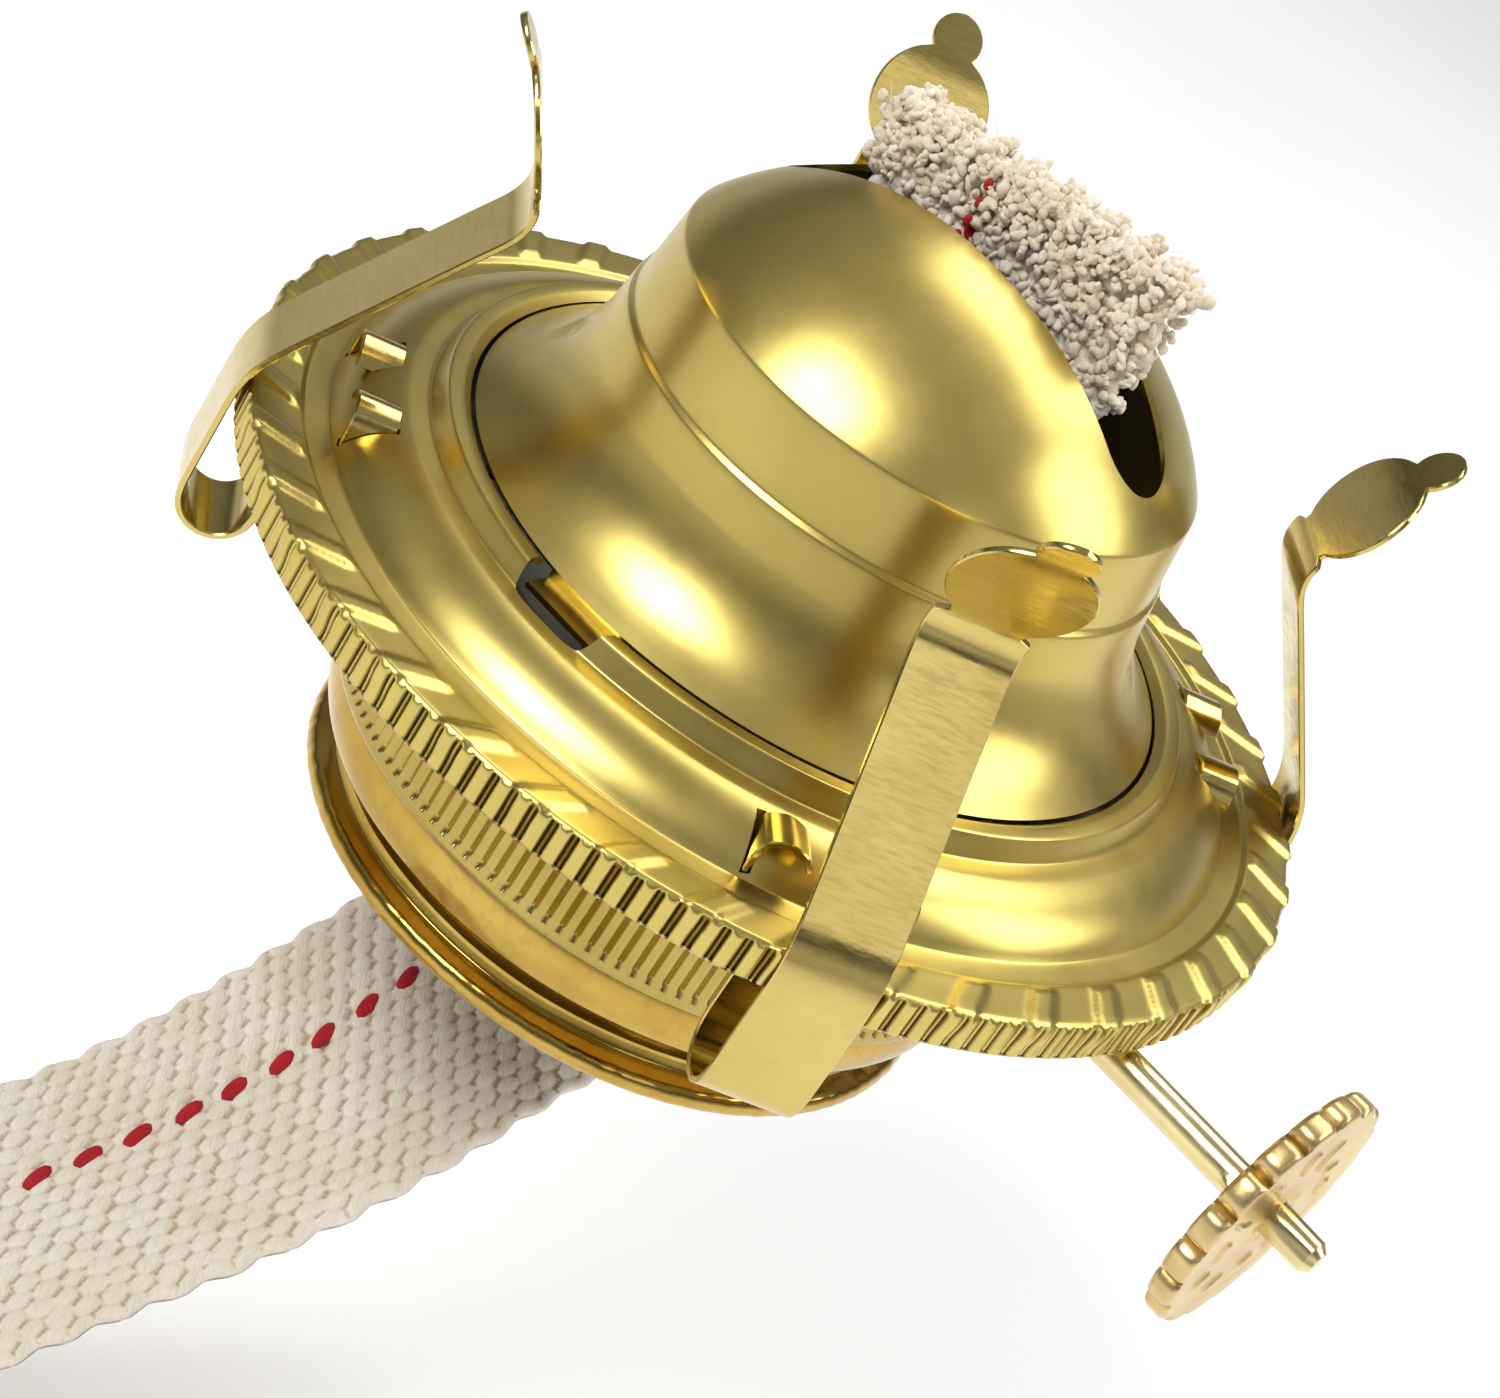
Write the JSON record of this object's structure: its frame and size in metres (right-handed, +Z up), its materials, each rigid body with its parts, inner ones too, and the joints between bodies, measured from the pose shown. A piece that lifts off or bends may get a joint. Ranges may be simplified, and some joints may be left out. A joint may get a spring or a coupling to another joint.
{
  "type": "flat-wick lamp burner",
  "caption": "Flat-wick burner for an oil lamp, with a threaded collar, dished gallery, slotted dome, spring chimney prongs, a thumb wheel and a cotton wick.",
  "frame": {"origin": "on the burner's axis, at the underside of the collar's bead, where the collar stands on the lamp", "axes": "+Z up the burner's axis, +X along the wick's width and the raiser shaft towards the thumb wheel"},
  "size_m": [0.1051, 0.1322, 0.1301],
  "materials": {
    "satin_brass": "satin",
    "polished_brass": "polished",
    "pale_brass": "satin",
    "steel": "satin",
    "cotton": "matte"
  },
  "bodies": {
    "collar": {"collar": "polished_brass"},
    "burner": {"screw_shell": "polished_brass", "drip_plate": "steel", "body_shell": "polished_brass", "gallery": "satin_brass", "air_plate": "steel", "prong_1_base": "polished_brass", "prong_2_base": "polished_brass", "prong_3_base": "polished_brass", "prong_4_base": "polished_brass", "shaft_bush": "pale_brass", "bearing_lug_1": "steel", "bearing_lug_2": "steel", "wick_tube": "steel", "vent_tube": "steel"},
    "dome": {"dome": "satin_brass"},
    "prong_arm_1": {"prong_1_arm": "polished_brass"},
    "prong_arm_2": {"prong_2_arm": "polished_brass"},
    "prong_arm_3": {"prong_3_arm": "polished_brass"},
    "prong_arm_4": {"prong_4_arm": "polished_brass"},
    "wick_raiser": {"shaft": "pale_brass", "wick_wheel_1": "steel", "wick_wheel_2": "steel", "wick_wheel_3": "steel", "wick_wheel_4": "steel", "thumb_wheel": "pale_brass"},
    "wick": {"wick_upper": "cotton", "wick_tail": "cotton"}
  },
  "joints": [
    {"name": "burner_screw", "type": "hinge", "parent": "collar", "child": "burner", "pos_m": [0, 0, 0.005], "axis": [0, 0, 1], "range_deg": [0, 360]},
    {"name": "dome_lift", "type": "slide", "parent": "burner", "child": "dome", "axis": [0, 0, 1], "range_m": [0, 0.036]},
    {"name": "prong_flex_1", "type": "hinge", "parent": "burner", "child": "prong_arm_1", "pos_m": [0.02934, 0.02934, 0.0155], "axis": [-0.7071, 0.7071, 0], "range_deg": [0, 12], "stiffness_Nm_per_rad": 0.5},
    {"name": "prong_flex_2", "type": "hinge", "parent": "burner", "child": "prong_arm_2", "pos_m": [-0.02934, 0.02934, 0.0155], "axis": [-0.7071, -0.7071, 0], "range_deg": [0, 12], "stiffness_Nm_per_rad": 0.5},
    {"name": "prong_flex_3", "type": "hinge", "parent": "burner", "child": "prong_arm_3", "pos_m": [-0.02934, -0.02934, 0.0155], "axis": [0.7071, -0.7071, 0], "range_deg": [0, 12], "stiffness_Nm_per_rad": 0.5},
    {"name": "prong_flex_4", "type": "hinge", "parent": "burner", "child": "prong_arm_4", "pos_m": [0.02934, -0.02934, 0.0155], "axis": [0.7071, 0.7071, 0], "range_deg": [0, 12], "stiffness_Nm_per_rad": 0.5},
    {"name": "raiser_turn", "type": "hinge", "parent": "burner", "child": "wick_raiser", "pos_m": [0, -0.0045, 0.0233], "axis": [1, 0, 0], "range_deg": [-230, 115]},
    {"name": "wick_feed", "type": "slide", "parent": "burner", "child": "wick", "axis": [0, 0, 1], "range_m": [-0.012, 0.006]}
  ],
  "couplings": [
    {"joint": "raiser_turn", "follows": "wick_feed", "rad_per_m": 333.33}
  ]
}
